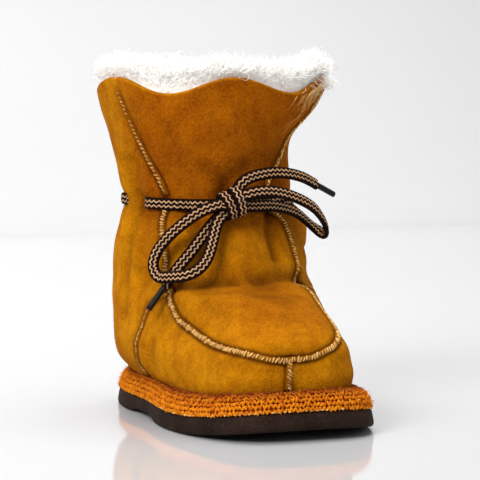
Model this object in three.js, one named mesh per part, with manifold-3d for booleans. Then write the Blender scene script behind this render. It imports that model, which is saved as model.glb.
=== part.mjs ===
// Baby sheepskin lace boot for the left foot, in millimetres.
// The toe points to -Y, the wearer's left is +X and +Z is up. The origin is under the middle of the boot.
import * as THREE from "three";
import { mergeVertices } from "three/addons/utils/BufferGeometryUtils.js";
import Module from "manifold-3d";

const wasm = await Module();
wasm.setup();
const { Manifold, Mesh } = wasm;
const { clamp, degToRad, lerp, smoothstep } = THREE.MathUtils;

// Driving dimensions
const SOLE_LENGTH = 134;
const OUTSOLE_THICKNESS = 6;
const OUTSOLE_FLARE = 0.8;
const BAND_HEIGHT = 7;
const BAND_SHOULDER = 6;
const GAP = 0.3;
const TOE_SPRING = 4;
const SPRING_START = 92;
const ARCH_LIFT = 1.4;
const ARCH_START = 40;
const ARCH_END = 74;
const WALL = 2.5;
const INSOLE_THICKNESS = 4;
const SCALLOP_DEPTH = 5.6;
const INNER_SEAM_ANGLE = degToRad(72);
const OUTER_SEAM_ANGLE = degToRad(62);
const CENTRE_X = 3.8;
const SEAM_WIDTH = 3;
const SEAM_HEIGHT = 1.4;
const LACE_LEVEL = 11;
const LACE_WIDTH = 4.2;
const LACE_HEIGHT = 1.9;
const HOLE_RADIUS = 2.4;
const HOLE_ANGLES = [66, 86, 108];
const CORD_RADIUS = 1.1;
const TIP_LENGTH = 10;
const KNOT_HEIGHT = 6.2;
const KNOT_HALF = [5.7, 4, 4.8];
const LOCK_COUNT = 30;
const LOCK_RADIUS = 3.2;
const LOCK_LENGTH = 9;
const LOCK_RISE = 4.9;
const LOCK_DEPTHS = [-5.9, -6.2, -6.8];
const LOCK_LEANS = [0.35, 0.05, -0.4];

const BAND_BASE = OUTSOLE_THICKNESS + GAP;
const BAND_TOP = BAND_BASE + BAND_HEIGHT;
const AROUND = 44;
// How many levels one radian counts for when a seam's points are spaced
const ANGLE_WEIGHT = 5;

// Distances run from the back of the heel. Half widths are of the inner side of the foot.
const COLUMNS = [
  "toe",
  "toeZ",
  "heel",
  "heelZ",
  "heelHalf",
  "ballHalf",
  "outer",
  "waist",
  "swing",
  "toeRound",
  "heelRound",
];
const SOLE_ROW = [SOLE_LENGTH, 0, 0, 0, 32, 35.5, 4, 3.5, 0.5, 0.52, 0.62];
const UPPER_ROWS = [
  [126.4, 13.6, 6.8, 13.6, 28, 29, 3.4, 2.5, 0.5, 0.54, 0.64],
  [127.2, 17.6, 4.6, 19, 32.8, 30.2, 3.2, 1.5, 0.5, 0.55, 0.66],
  [127.4, 22, 3.2, 25.5, 35, 30, 3, 0.6, 0.5, 0.57, 0.7],
  [126.6, 27, 2.4, 31.5, 35.8, 29, 3.4, 0, 0.4, 0.6, 0.75],
  [122.4, 32.4, 2.2, 37, 35.6, 26.8, 4, 0, 0, 0.7, 0.8],
  [115, 38, 2.4, 43, 35.6, 25.4, 4.6, 0, -0.8, 0.8, 0.85],
  [104.5, 43.4, 2.8, 48.5, 35.2, 25.6, 5.2, 0, -1.6, 0.9, 0.9],
  [93.5, 46.5, 3.4, 54, 34.4, 26.6, 5.8, 0, -2, 1, 0.95],
  [86, 50, 4.2, 60, 33.2, 28.2, 7, 0, -2.2, 1, 1],
  [79.5, 57, 5, 65.5, 31.8, 29.2, 8, 0, -2.6, 1, 1],
  [75, 65.5, 5.6, 71, 29.8, 29.6, 8.4, 0, -3.4, 1, 1],
  [72, 75, 5.8, 76.5, 28.6, 29.2, 6.4, 0, -4, 1, 1],
  [72.6, 85.5, 5.2, 86, 29.8, 30.2, 3, 0, -3.8, 1, 1],
  [74.4, 97, 4, 97, 33.4, 32.6, 1, 0, -3.4, 1, 1],
  [76.2, 108, 2.8, 108, 36, 35.6, 7, 0, -3, 1, 1],
  [77.5, 118.5, 1.8, 118.5, 38, 38, 10, 0, -2.6, 1, 1],
];
const COLLAR = UPPER_ROWS.length - 1;
const OUTER_LEVELS = [
  0, 1, 2, 2.5, 3, 3.5, 4, 5, 6, 7, 7.5, 8, 9, 10, 11, 12, 13, 14, 15,
];
// Seam points: distance from the back of the heel, then height before the toe spring
const INNER_SHAFT = [[51.6, 114], [55.6, 100], [59, 91], [62.4, 82.5]];
const OUTER_SHAFT = [[56.5, 114], [58.5, 104], [61.5, 94], [65, 87], [66.9, 83]];
const INNER_APRON = [
  [63.4, 69.5], [64.6, 64], [67, 57.5], [71.2, 46.2], [82, 37.4], [93, 33.8], [103, 31], [113, 28.8],
  [121.6, 26.7],
];
const OUTER_APRON = [
  [66.4, 69.5], [67.4, 63.5], [70, 56.5], [76, 49], [86, 43.6], [95, 39.4], [103, 36], [111, 33], [119.5, 30],
  [126, 26.6],
];
const INNER_SIDE = [[71.2, 46.2], [63.4, 38.4], [61, 29.5], [56.6, 21], [53, 14.6]];
const OUTER_SIDE = [[76, 49], [65.5, 38.5], [57.5, 27], [49.5, 14.6]];
const TOE_ANGLE = degToRad(-1);
const APRON_TIP = [2.37, TOE_ANGLE];
const TOE_SEAM = [[0.1, TOE_ANGLE], [1.2, TOE_ANGLE], APRON_TIP];
// Free lace: level, angle in degrees, height above the suede
const INNER_LOOP = [
  [11.1, -3, 7.6], [10.6, -18, 8], [10.05, -30, 7.6], [9.5, -40, 7], [8.9, -48, 6.6], [8.2, -54, 6.4],
  [7.3, -56.5, 6.4], [6.6, -53.5, 6.5], [6.7, -44, 6.7], [7.5, -32, 7], [8.5, -22, 7], [9.55, -14.5, 6.8],
  [10.2, -10, 6.4], [10.65, -4, 5.8],
];
const OUTER_LOOP = [
  [11.2, 1, 8.2], [11.5, 7, 9.8], [11.55, 17.5, 10.8], [11.1, 30, 12.4], [10.2, 42, 12.6], [9.6, 50, 11.6],
  [9.35, 57, 8.6], [9.7, 57, 5.2], [10.4, 45, 3.8], [10.8, 27, 4], [10.85, 11, 4.9], [10.9, 1, 6.2],
];
const INNER_END = [[10.8, -3, 4.2], [10, -16, 3.2], [9.1, -29, 3], [8.1, -43.5, 3], [6.3, -63, 3.4]];
const OUTER_END = [
  [11.3, 0, 6.2], [11.9, 6, 6.6], [12.1, 17.5, 6.8], [12.1, 29.5, 8.2], [11.9, 41, 10.6], [11.5, 49, 12.8],
];
// Wool ring sections: level, distance from the suede's face, rise above the collar
const WOOL_RINGS = [
  [12.3, -3, 0], [13, -3, 0], [14, -3, 0], [15, -3, 0], [15, -1.6, 2], [15, -3, 4.6], [15, -5.4, 5.4],
  [15, -7.6, 3.6], [15, -8.6, 0], [14, -8.6, 0], [13, -8, 0], [12.4, -6, 0],
];
const INNER_LEVELS = [15, 14, 13, 12, 11, 10, 9, 8, 7, 5, 3, 1, 0];

const named = (row) => Object.fromEntries(COLUMNS.map((name, i) => [name, row[i]]));

// One row of the upper's table at any level between two rows
function rowAt(level) {
  const i = clamp(Math.floor(level), 0, COLLAR - 1);
  const f = level - i;
  const row = (k) => UPPER_ROWS[clamp(k, 0, COLLAR)];
  const mix = COLUMNS.map((_, c) => {
    const [a, b, d, e] = [row(i - 1)[c], row(i)[c], row(i + 1)[c], row(i + 2)[c]];
    const rise = (d - a) / 2;
    const fall = (e - b) / 2;
    return b + f * (rise + f * (3 * (d - b) - 2 * rise - fall + f * (2 * (b - d) + rise + fall)));
  });
  return named(mix);
}

const spring = (station) =>
  TOE_SPRING * Math.max(0, (station - SPRING_START) / (SOLE_LENGTH - SPRING_START)) ** 2;

// A point on the outline of a section: angle 0 is the toe, a quarter turn the outer side
function outline(row, angle, inset = 0) {
  const along = Math.cos(angle);
  const across = Math.sin(angle);
  const round = along > 0 ? row.toeRound : row.heelRound;
  const outer = across > 0;
  const waist = row.waist * (outer ? 0.4 : 1) * Math.exp(-(((along + 0.12) / 0.35) ** 2));
  const ball = smoothstep(along, -0.6, 0.65);
  const bulge = outer ? row.outer * smoothstep(along, -0.8, 0.3) : 0;
  const half = lerp(row.heelHalf, row.ballHalf, ball) + bulge - waist - inset;
  const share = (1 + along) / 2;
  const station = lerp(row.heel + inset, row.toe - inset, share);
  const x = row.swing * smoothstep(along, -0.4, 1);
  return {
    x: x - CENTRE_X + Math.sign(across) * half * Math.abs(across) ** round,
    y: SOLE_LENGTH / 2 - station,
    z: lerp(row.heelZ, row.toeZ, share),
    station,
  };
}

// Four scallops round the collar, with a crest at the front, at both side seams and at the back
function scallop(angle) {
  const turn = Math.abs(Math.atan2(Math.sin(angle), Math.cos(angle)));
  const crest = Math.sin(angle) > 0 ? OUTER_SEAM_ANGLE : INNER_SEAM_ANGLE;
  const wave = turn < crest ? turn / crest : (turn - crest) / (Math.PI - crest);
  return (SCALLOP_DEPTH * (1 - Math.cos(2 * Math.PI * wave))) / 2;
}

function upperPoint(level, angle) {
  const p = outline(rowAt(level), angle);
  const dip = scallop(angle) * smoothstep(level, COLLAR - 2, COLLAR);
  return new THREE.Vector3(p.x, p.y, p.z + spring(p.station) - dip);
}

function upperNormal(level, angle) {
  const step = 0.02;
  const around = upperPoint(level, angle + step).sub(upperPoint(level, angle - step));
  const low = Math.max(0, level - step);
  const high = Math.min(COLLAR, level + step);
  const up = upperPoint(high, angle).sub(upperPoint(low, angle));
  return around.cross(up).normalize();
}

function upperOffset(level, angle, distance) {
  const normal = upperNormal(level, angle);
  if (level === 0) normal.setZ(0).normalize();
  return upperPoint(level, angle).addScaledVector(normal, distance);
}

const ring = (pointAt, count = AROUND) =>
  Array.from({ length: count }, (_, i) => pointAt((2 * Math.PI * i) / count));

// Closed skin over rings of equal length, capped at both ends or joined end to end
function skin(rings, joined = false) {
  const count = rings[0].length;
  const points = rings.flat();
  const faces = [];
  const spans = joined ? rings.length : rings.length - 1;
  for (let k = 0; k < spans; k++) {
    const low = k * count;
    const high = ((k + 1) % rings.length) * count;
    for (let i = 0; i < count; i++) {
      const j = (i + 1) % count;
      faces.push(low + i, low + j, high + j, low + i, high + j, high + i);
    }
  }
  if (!joined) {
    const centre = (loop) => loop.reduce((sum, p) => sum.add(p), new THREE.Vector3()).divideScalar(count);
    const top = (rings.length - 1) * count;
    points.push(centre(rings[0]), centre(rings.at(-1)));
    for (let i = 0; i < count; i++) {
      const j = (i + 1) % count;
      faces.push(points.length - 2, j, i, points.length - 1, top + i, top + j);
    }
  }
  return new THREE.BufferGeometry().setFromPoints(points).setIndex(faces);
}

function solid(geometry) {
  const plain = new THREE.BufferGeometry().setAttribute("position", geometry.getAttribute("position"));
  if (geometry.index) plain.setIndex(geometry.index);
  const welded = mergeVertices(plain, 1e-4);
  const corners = [];
  for (let i = 0; i < welded.index.count; i += 3) {
    const [a, b, c] = [0, 1, 2].map((k) => welded.index.getX(i + k));
    if (a !== b && b !== c && c !== a) corners.push(a, b, c);
  }
  const mesh = new Mesh({
    numProp: 3,
    vertProperties: new Float32Array(welded.getAttribute("position").array),
    triVerts: new Uint32Array(corners),
  });
  return new Manifold(mesh);
}

function geometryOf(body) {
  const mesh = body.getMesh();
  return new THREE.BufferGeometry()
    .setAttribute("position", new THREE.BufferAttribute(new Float32Array(mesh.vertProperties), 3))
    .setIndex(new THREE.BufferAttribute(new Uint32Array(mesh.triVerts), 1));
}

// Sole pieces: rings from the middle of the underside, round the edge, to the middle of the top
function slab(row, layers) {
  const loops = layers.map(({ inset, share, z }) =>
    ring((angle) => {
      const p = outline(row, angle, inset);
      const x = p.x * share;
      const station = lerp(SOLE_LENGTH / 2, p.station, share);
      return new THREE.Vector3(x, SOLE_LENGTH / 2 - station, z(station) + spring(station));
    }),
  );
  return skin(loops);
}

const soleRow = named(SOLE_ROW);
const flat = (height) => () => height;
const tread = slab(soleRow, [
  { inset: 0, share: 1, z: flat(-4) },
  { inset: 0, share: 1, z: flat(1) },
  { inset: OUTSOLE_FLARE, share: 1, z: flat(OUTSOLE_THICKNESS - 0.4) },
  { inset: OUTSOLE_FLARE + 0.4, share: 1, z: flat(OUTSOLE_THICKNESS) },
  { inset: OUTSOLE_FLARE, share: 0.7, z: flat(OUTSOLE_THICKNESS) },
  { inset: OUTSOLE_FLARE, share: 0.35, z: flat(OUTSOLE_THICKNESS) },
]);

// Side profile: flat under the heel and the forefoot, lifted at the arch and the toe
const rising = Array.from({ length: 12 }, (_, i) => SPRING_START + 4 * i);
const underside = [
  [-2, 0],
  [ARCH_START, 0],
  [ARCH_START + 8, ARCH_LIFT],
  [ARCH_END - 8, ARCH_LIFT],
  [ARCH_END, 0],
  ...rising.map((station) => [station, spring(station)]),
  [136, 20],
  [-2, 20],
];
const profile = new THREE.Shape(underside.map(([station, z]) => new THREE.Vector2(station, z)));
const toBoot = new THREE.Matrix4()
  .makeBasis(new THREE.Vector3(0, -1, 0), new THREE.Vector3(0, 0, 1), new THREE.Vector3(-1, 0, 0))
  .setPosition(50, SOLE_LENGTH / 2, 0);
const side = new THREE.ExtrudeGeometry(profile, { depth: 100, bevelEnabled: false }).applyMatrix4(toBoot);
const outsole = solid(tread).intersect(solid(side));

// The knitted band rolls over the platform's edge as a quarter ellipse
const shoulder = [0, 18, 36, 54, 72, 90].map((degrees) => ({
  inset: OUTSOLE_FLARE + BAND_SHOULDER * (1 - Math.cos(degToRad(degrees))),
  share: 1,
  z: flat(BAND_BASE + BAND_HEIGHT * Math.sin(degToRad(degrees))),
}));
const band = slab(soleRow, [
  { inset: OUTSOLE_FLARE + 1, share: 0.35, z: flat(BAND_BASE) },
  { inset: OUTSOLE_FLARE + 1, share: 0.7, z: flat(BAND_BASE) },
  ...shoulder,
  { inset: BAND_SHOULDER, share: 0.7, z: flat(BAND_TOP) },
  { inset: BAND_SHOULDER, share: 0.35, z: flat(BAND_TOP) },
]);

const featherRow = named(UPPER_ROWS[0]);
const insole = slab(featherRow, [
  { inset: WALL + 0.5, share: 0.5, z: flat(BAND_TOP + GAP) },
  { inset: WALL + 0.5, share: 1, z: flat(BAND_TOP + GAP) },
  { inset: WALL + 0.5, share: 1, z: flat(BAND_TOP + INSOLE_THICKNESS - 1) },
  { inset: WALL + 1.5, share: 1, z: flat(BAND_TOP + INSOLE_THICKNESS) },
  { inset: WALL + 1.5, share: 0.5, z: flat(BAND_TOP + INSOLE_THICKNESS) },
]);

const outerRings = OUTER_LEVELS.map((level) => ring((angle) => upperPoint(level, angle)));
const innerRings = INNER_LEVELS.map((level) => ring((angle) => upperOffset(level, angle, -WALL)));
const upper = skin([...outerRings, ...innerRings], true);

// Closed form of the upper, grown by a distance
const form = (distance) =>
  solid(skin(OUTER_LEVELS.map((level) => ring((angle) => upperOffset(level, angle, distance)))));

// Level and angle of a seam point on one side, -1 for the inner side
function locate([station, height], side) {
  const share = (row) => clamp((station - row.heel) / (row.toe - row.heel), 0, 1);
  let [low, high] = [0, COLLAR];
  for (let i = 0; i < 40; i++) {
    const row = rowAt((low + high) / 2);
    if (lerp(row.heelZ, row.toeZ, share(row)) < height) low = (low + high) / 2;
    else high = (low + high) / 2;
  }
  return [low, side * Math.acos(2 * share(rowAt(low)) - 1)];
}

// Bar of even width along a path of levels and angles, from below the suede to a height above it
function strip(path, width, bottom, top, steps) {
  const flatPath = path.map(([level, angle]) => new THREE.Vector3(level, ANGLE_WEIGHT * angle, 0));
  const curve = new THREE.CatmullRomCurve3(flatPath);
  const spots = curve.getSpacedPoints(steps).map((p) => [p.x, p.y / ANGLE_WEIGHT]);
  const centres = spots.map(([level, angle]) => upperPoint(level, angle));
  const loops = spots.map(([level, angle], i) => {
    const ahead = centres[Math.min(i + 1, steps)].clone().sub(centres[Math.max(i - 1, 0)]).normalize();
    const normal = upperNormal(level, angle);
    const across = ahead.cross(normal).normalize();
    const corner = (side, height) =>
      centres[i].clone().addScaledVector(across, (side * width) / 2).addScaledVector(normal, height);
    return [corner(-1, top), corner(1, top), corner(1, bottom), corner(-1, bottom)];
  });
  return solid(skin(loops));
}

const inner = (points) => points.map((p) => locate(p, -1));
const outer = (points) => points.map((p) => locate(p, 1));
const seamShell = form(SEAM_HEIGHT).subtract(form(GAP));
const laceShell = form(LACE_HEIGHT).subtract(form(GAP));
const seam = (path, steps) => strip(path, SEAM_WIDTH, -1.5, 4, steps).intersect(seamShell);
const apronPath = [...inner(INNER_APRON), APRON_TIP, ...outer(OUTER_APRON).reverse()];
const apronRoom = strip(apronPath, SEAM_WIDTH + 2 * GAP, -3, 5, 44);
const butted = (path, steps) => seam(path, steps).subtract(apronRoom);

const holes = HOLE_ANGLES.flatMap((degrees) => [degToRad(-degrees), degToRad(degrees)]).map((angle) => {
  const up = new THREE.Vector3(0, 1, 0);
  const turn = new THREE.Quaternion().setFromUnitVectors(up, upperNormal(LACE_LEVEL, angle));
  const punch = new THREE.CylinderGeometry(HOLE_RADIUS, HOLE_RADIUS, 14, 12).applyQuaternion(turn);
  const spot = upperPoint(LACE_LEVEL, angle);
  return solid(punch.translate(spot.x, spot.y, spot.z));
});
const punched = holes.reduce((body, hole) => body.subtract(hole), solid(upper));

function laceBar(from, to, steps) {
  const path = [0, 0.5, 1].map((share) => [LACE_LEVEL, degToRad(lerp(from, to, share))]);
  return strip(path, LACE_WIDTH, -1.5, 4, steps).intersect(laceShell);
}

// Wool standing in the collar, levelled over the scallops, with locks fused on
function woolPoint([level, distance, rise], angle) {
  const p = upperOffset(level, angle, distance);
  if (rise > 0) p.z += rise + 0.6 * scallop(angle);
  return p;
}
const woolRing = skin(WOOL_RINGS.map((section) => ring((angle) => woolPoint(section, angle))), true);
const locks = Array.from({ length: LOCK_COUNT }, (_, i) => {
  const angle = (2 * Math.PI * (i + 0.5)) / LOCK_COUNT;
  const root = woolPoint([COLLAR, LOCK_DEPTHS[i % 3], LOCK_RISE], angle);
  const outward = new THREE.Vector3(Math.sin(angle), -Math.cos(angle), 0);
  const aim = outward.multiplyScalar(LOCK_LEANS[i % 3]).add(new THREE.Vector3(0, 0, 1)).normalize();
  const turn = new THREE.Quaternion().setFromUnitVectors(new THREE.Vector3(0, 1, 0), aim);
  const lock = new THREE.ConeGeometry(LOCK_RADIUS, LOCK_LENGTH, 5).applyQuaternion(turn);
  return solid(lock.translate(root.x, root.y, root.z));
});
const wool = locks.reduce((body, lock) => body.add(lock), solid(woolRing));

const above = ([level, degrees, height]) => upperOffset(level, degToRad(degrees), height);
const route = (points) => new THREE.CatmullRomCurve3(points.map(above), false, "centripetal");
function tube(curve, radius, steps) {
  const corners = Array.from({ length: 8 }, (_, i) => (i * Math.PI) / 4);
  const section = new THREE.Shape(
    corners.map((a) => new THREE.Vector2(radius * Math.cos(a), radius * Math.sin(a))),
  );
  return solid(new THREE.ExtrudeGeometry(section, { steps, bevelEnabled: false, extrudePath: curve }));
}

const knotSpot = above([LACE_LEVEL, 0, KNOT_HEIGHT]);
function knot(grown) {
  const ball = new THREE.SphereGeometry(1, 12, 8).scale(...KNOT_HALF.map((half) => half + grown));
  return solid(ball.translate(knotSpot.x, knotSpot.y, knotSpot.z));
}
const knotRoom = knot(GAP);
const cord = (points, steps) => tube(route(points), CORD_RADIUS, steps).subtract(knotRoom);
function tip(points) {
  const curve = route(points);
  const ahead = curve.getTangent(1);
  const end = curve.getPoint(1);
  const from = end.clone().addScaledVector(ahead, GAP);
  const to = end.addScaledVector(ahead, TIP_LENGTH);
  return tube(new THREE.LineCurve3(from, to), CORD_RADIUS * 0.85, 2);
}

const SUEDE = { color: 0xab6712, roughness: 0.9, metalness: 0 };
const KNIT = { color: 0xc2641a, roughness: 0.95, metalness: 0 };
const RUBBER = { color: 0x2c1c18, roughness: 0.8, metalness: 0 };
const WOOL = { color: 0xf3ecdc, roughness: 1, metalness: 0 };
const THREAD = { color: 0xebc896, roughness: 1, metalness: 0 };
const LACE = { color: 0x32211a, roughness: 0.9, metalness: 0 };
const TIP = { color: 0x1a1210, roughness: 0.4, metalness: 0 };

const boot = new THREE.Group();
function add(name, geometry, finish) {
  const mesh = new THREE.Mesh(geometry, new THREE.MeshStandardMaterial(finish));
  mesh.name = name;
  boot.add(mesh);
}

add("outsole", geometryOf(outsole), RUBBER);
add("knit_band", band, KNIT);
add("insole", insole, WOOL);
add("upper", geometryOf(punched), SUEDE);
add("wool_collar", geometryOf(wool), WOOL);
add("seam_shaft_inner", geometryOf(seam(inner(INNER_SHAFT), 8)), THREAD);
add("seam_shaft_outer", geometryOf(seam(outer(OUTER_SHAFT), 10)), THREAD);
add("seam_apron", geometryOf(seam(apronPath, 44)), THREAD);
add("seam_toe", geometryOf(butted(TOE_SEAM, 4)), THREAD);
add("seam_side_inner", geometryOf(butted(inner(INNER_SIDE), 8)), THREAD);
add("seam_side_outer", geometryOf(butted(outer(OUTER_SIDE), 8)), THREAD);
add("lace_front", geometryOf(laceBar(-65, 65, 16)), LACE);
add("lace_side_inner", geometryOf(laceBar(-87, -107, 4)), LACE);
add("lace_side_outer", geometryOf(laceBar(87, 107, 4)), LACE);
add("lace_knot", geometryOf(knot(0)), LACE);
add("lace_loop_inner", geometryOf(cord(INNER_LOOP, 24)), LACE);
add("lace_loop_outer", geometryOf(cord(OUTER_LOOP, 26)), LACE);
add("lace_end_inner", geometryOf(cord(INNER_END, 10)), LACE);
add("lace_end_outer", geometryOf(cord(OUTER_END, 10)), LACE);
add("lace_tip_inner", geometryOf(tip(INNER_END)), TIP);
add("lace_tip_outer", geometryOf(tip(OUTER_END)), TIP);

export default boot;
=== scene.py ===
import math
import bmesh
import bpy
import numpy as np
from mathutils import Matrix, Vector, kdtree


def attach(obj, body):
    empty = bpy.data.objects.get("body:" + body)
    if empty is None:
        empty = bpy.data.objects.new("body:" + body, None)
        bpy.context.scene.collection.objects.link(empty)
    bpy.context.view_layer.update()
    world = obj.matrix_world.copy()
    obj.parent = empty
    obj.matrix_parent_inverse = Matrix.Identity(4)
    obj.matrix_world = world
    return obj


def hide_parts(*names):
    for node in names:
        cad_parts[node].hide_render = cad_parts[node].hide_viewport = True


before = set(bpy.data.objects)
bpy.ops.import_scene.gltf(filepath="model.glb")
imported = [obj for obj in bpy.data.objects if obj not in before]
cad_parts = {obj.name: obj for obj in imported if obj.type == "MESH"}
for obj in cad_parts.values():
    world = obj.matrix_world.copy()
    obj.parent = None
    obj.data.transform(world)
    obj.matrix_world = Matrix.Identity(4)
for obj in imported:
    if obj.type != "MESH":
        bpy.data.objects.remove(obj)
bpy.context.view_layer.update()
rng = np.random.default_rng(7)

# The boot's form, in millimetres, with the toe towards -Y
SOLE_LENGTH = 134.0
HALF_SOLE = SOLE_LENGTH / 2
TOE_SPRING = 4.0
SPRING_START = 92.0
SCALLOP_DEPTH = 5.6
INNER_CREST = math.radians(72)
OUTER_CREST = math.radians(62)
CENTRE_X = 3.8
# Level of the collar, which is the last of the rows
COLLAR = 15
# Fineness: step for directions, halvings to find a level, points in each span of a curve
NORMAL_STEP = 0.02
HALVINGS = 40
SPAN_POINTS = 24
# Sections of the sole and, from the band up, of the upper: toe, toe height, heel, heel height, half widths of
# heel and ball, outer bulge, waist, swing of the toe, roundings of toe and heel
SOLE = np.array([134, 0, 0, 0, 32, 35.5, 4, 3.5, 0.5, 0.52, 0.62])
ROWS = np.array([
    [126.4, 13.6, 6.8, 13.6, 28, 29, 3.4, 2.5, 0.5, 0.54, 0.64],
    [127.2, 17.6, 4.6, 19, 32.8, 30.2, 3.2, 1.5, 0.5, 0.55, 0.66],
    [127.4, 22, 3.2, 25.5, 35, 30, 3, 0.6, 0.5, 0.57, 0.7],
    [126.6, 27, 2.4, 31.5, 35.8, 29, 3.4, 0, 0.4, 0.6, 0.75],
    [122.4, 32.4, 2.2, 37, 35.6, 26.8, 4, 0, 0, 0.7, 0.8],
    [115, 38, 2.4, 43, 35.6, 25.4, 4.6, 0, -0.8, 0.8, 0.85],
    [104.5, 43.4, 2.8, 48.5, 35.2, 25.6, 5.2, 0, -1.6, 0.9, 0.9],
    [93.5, 46.5, 3.4, 54, 34.4, 26.6, 5.8, 0, -2, 1, 0.95],
    [86, 50, 4.2, 60, 33.2, 28.2, 7, 0, -2.2, 1, 1],
    [79.5, 57, 5, 65.5, 31.8, 29.2, 8, 0, -2.6, 1, 1],
    [75, 65.5, 5.6, 71, 29.8, 29.6, 8.4, 0, -3.4, 1, 1],
    [72, 75, 5.8, 76.5, 28.6, 29.2, 6.4, 0, -4, 1, 1],
    [72.6, 85.5, 5.2, 86, 29.8, 30.2, 3, 0, -3.8, 1, 1],
    [74.4, 97, 4, 97, 33.4, 32.6, 1, 0, -3.4, 1, 1],
    [76.2, 108, 2.8, 108, 36, 35.6, 7, 0, -3, 1, 1],
    [77.5, 118.5, 1.8, 118.5, 38, 38, 10, 0, -2.6, 1, 1],
])


def smooth(x, low, high):
    """A soft step from 0 at low to 1 at high."""
    t = np.clip((x - low) / (high - low), 0, 1)
    return t * t * (3 - 2 * t)


def bump(x, width):
    """A soft hill of height 1 round zero."""
    return np.exp(-(x / width) ** 2)


def unit(v):
    """Vectors brought to length 1."""
    return v / np.maximum(np.linalg.norm(v, axis=-1, keepdims=True), 1e-9)


def wrapped(angle):
    """Angles brought within half a turn of the toe."""
    return np.arctan2(np.sin(angle), np.cos(angle))


def row_at(level):
    """Sections at levels between the rows, on smooth curves through them."""
    i = np.clip(np.floor(level).astype(int), 0, COLLAR - 1)
    f = (level - i)[:, None]
    before, low, high, after = (ROWS[np.clip(i + k, 0, COLLAR)] for k in (-1, 0, 1, 2))
    leave, reach = (high - before) / 2, (after - low) / 2
    bend = 3 * (high - low) - 2 * leave - reach + f * (2 * (low - high) + leave + reach)
    return low + f * (leave + f * bend)


def spring(station):
    """Rise of the toe, by distance from the back of the heel."""
    return TOE_SPRING * (np.maximum(0, station - SPRING_START) / (SOLE_LENGTH - SPRING_START)) ** 2


def outline(row, angle, inset=0.0):
    """Points of a section, before the toe spring, with their distance from the back of the heel."""
    sizes = np.atleast_2d(row).T
    toe, toe_z, heel, heel_z, heel_half, ball_half, bulge, waist, swing, toe_round, heel_round = sizes
    along, across = np.cos(angle), np.sin(angle)
    outer = across > 0
    half = heel_half + (ball_half - heel_half) * smooth(along, -0.6, 0.65) - inset
    half = half + np.where(outer, bulge * smooth(along, -0.8, 0.3), 0)
    half = half - waist * np.where(outer, 0.4, 1) * bump(along + 0.12, 0.35)
    share = (1 + along) / 2
    station = heel + inset + (toe - heel - 2 * inset) * share
    power = np.where(along > 0, toe_round, heel_round)
    x = swing * smooth(along, -0.4, 1) - CENTRE_X + np.sign(across) * half * np.abs(across) ** power
    return np.stack([x, HALF_SOLE - station, heel_z + (toe_z - heel_z) * share], -1), station


def scallop(angle):
    """Dip of the collar's edge between its crests at the front, the sides and the back."""
    turn = wrapped(angle)
    crest = np.where(turn > 0, OUTER_CREST, INNER_CREST)
    turn = np.abs(turn)
    wave = np.where(turn < crest, turn / crest, (turn - crest) / (math.pi - crest))
    return SCALLOP_DEPTH * (1 - np.cos(2 * math.pi * wave)) / 2


def upper(level, angle):
    """Points of the boot's plain form at a level and an angle from the toe, positive on the outer side."""
    level, angle = np.broadcast_arrays(np.asarray(level, float), np.asarray(angle, float))
    p, station = outline(row_at(level), angle)
    p[:, 2] += spring(station) - scallop(angle) * smooth(level, COLLAR - 2, COLLAR)
    return p


def upper_normal(level, angle):
    """Outward directions of the boot's plain form."""
    level, angle = np.broadcast_arrays(np.asarray(level, float), np.asarray(angle, float))
    around = upper(level, angle + NORMAL_STEP) - upper(level, angle - NORMAL_STEP)
    higher, lower = np.minimum(level + NORMAL_STEP, COLLAR), np.maximum(level - NORMAL_STEP, 0)
    return unit(np.cross(around, upper(higher, angle) - upper(lower, angle)))


def offset(level, angle, distance):
    """Points at a distance outside the boot's plain form."""
    return upper(level, angle) + upper_normal(level, angle) * np.reshape(distance, (-1, 1))


def length_share(row, station):
    """How far along its section each point lies, from 0 at the heel to 1 at the toe."""
    return np.clip((station - row[:, 2]) / (row[:, 0] - row[:, 2]), 0, 1)


def locate(points, side):
    """Level and angle of seam points given by distance from the heel and height."""
    station, height = np.array(points, float).T
    low, high = np.zeros(len(station)), np.full(len(station), float(COLLAR))
    for _ in range(HALVINGS):
        mid = (low + high) / 2
        row = row_at(mid)
        below = row[:, 3] + (row[:, 1] - row[:, 3]) * length_share(row, station) < height
        low, high = np.where(below, mid, low), np.where(below, high, mid)
    return np.stack([low, side * np.arccos(2 * length_share(row_at(low), station) - 1)], -1)


def run_of(path):
    """Length along a path at each of its points."""
    return np.concatenate([[0], np.cumsum(np.linalg.norm(np.diff(path, axis=0), axis=1))])


def along_path(path, marks, run):
    """Values of a path at marks along its length."""
    return np.stack([np.interp(marks, run, path[:, k]) for k in range(path.shape[1])], -1)


def spline(points, count):
    """Centripetal curve through points, evenly spaced."""
    p = np.array(points, float)
    p = np.vstack([2 * p[0] - p[1], p, 2 * p[-1] - p[-2]])
    out = []
    for i in range(1, len(p) - 2):
        q = p[i - 1:i + 3]
        t = np.concatenate([[0], np.cumsum(np.sqrt(np.linalg.norm(np.diff(q, axis=0), axis=1)) + 1e-9)])
        s = np.linspace(t[1], t[2], SPAN_POINTS, endpoint=False)[:, None]
        a = [q[k] + (q[k + 1] - q[k]) * (s - t[k]) / (t[k + 1] - t[k]) for k in range(3)]
        b = [a[k] + (a[k + 1] - a[k]) * (s - t[k]) / (t[k + 2] - t[k]) for k in range(2)]
        out.append(b[0] + (b[1] - b[0]) * (s - t[1]) / (t[2] - t[1]))
    dense = np.vstack(out + [p[-2:-1]])
    run = run_of(dense)
    return along_path(dense, np.linspace(0, run[-1], count), run)


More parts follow.
